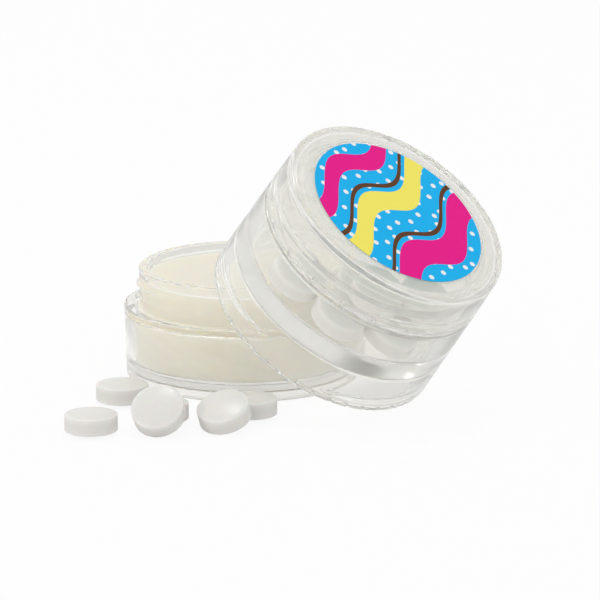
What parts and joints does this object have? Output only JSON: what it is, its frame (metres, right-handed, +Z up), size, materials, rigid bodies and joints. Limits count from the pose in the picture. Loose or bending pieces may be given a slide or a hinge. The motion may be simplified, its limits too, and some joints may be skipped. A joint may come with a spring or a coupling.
{
  "type": "double stacked jar",
  "caption": "Clear plastic stacked jars, opened: a base jar filled with lip balm, and an upper jar of mints with a screw lid that screws onto the base jar's neck.",
  "frame": {"origin": "under the middle of the whole set's outline, on the surface that it stands on", "axes": "+Z up, +X to the right and -Y towards the viewer of the picture; the base jar stands upright and the upper jar leans on it"},
  "size_m": [0.0662, 0.0584, 0.0415],
  "materials": {
    "clear_plastic": "crystal-clear moulded plastic, polished",
    "lip_balm": "cream-coloured wax balm, satin",
    "label": null,
    "mint": "pressed sugar, chalky white"
  },
  "bodies": {
    "base": {"base_jar": "clear_plastic", "lip_balm": "lip_balm", "mint_spilled_1": "mint", "mint_spilled_2": "mint", "mint_spilled_3": "mint", "mint_spilled_4": "mint", "mint_spilled_5": "mint", "mint_spilled_6": "mint"},
    "inner_mints": {"mint_inside_1": "mint", "mint_inside_2": "mint", "mint_inside_3": "mint", "mint_inside_4": "mint", "mint_inside_5": "mint", "mint_inside_6": "mint", "mint_inside_7": "mint"},
    "upper_jar": {"upper_jar": "clear_plastic"},
    "lid": {"lid": "clear_plastic", "label": "label"}
  },
  "joints": [
    {"name": "upper_lift", "type": "slide", "parent": "base", "child": "inner_mints", "axis": [0, 0, 1], "range_m": [0, 0.06]},
    {"name": "jar_turn", "type": "hinge", "parent": "inner_mints", "child": "upper_jar", "pos_m": [0.00581, -0.00102, 0.01149], "axis": [-0.4681, 0.3914, -0.7923], "range_deg": [0, 540]},
    {"name": "lid_rise", "type": "slide", "parent": "inner_mints", "child": "lid", "axis": [0.4681, -0.3914, 0.7923], "range_m": [0, 0.0075]}
  ],
  "couplings": [
    {"joint": "lid_rise", "follows": "jar_turn", "m_per_rad": 0.00079577}
  ]
}
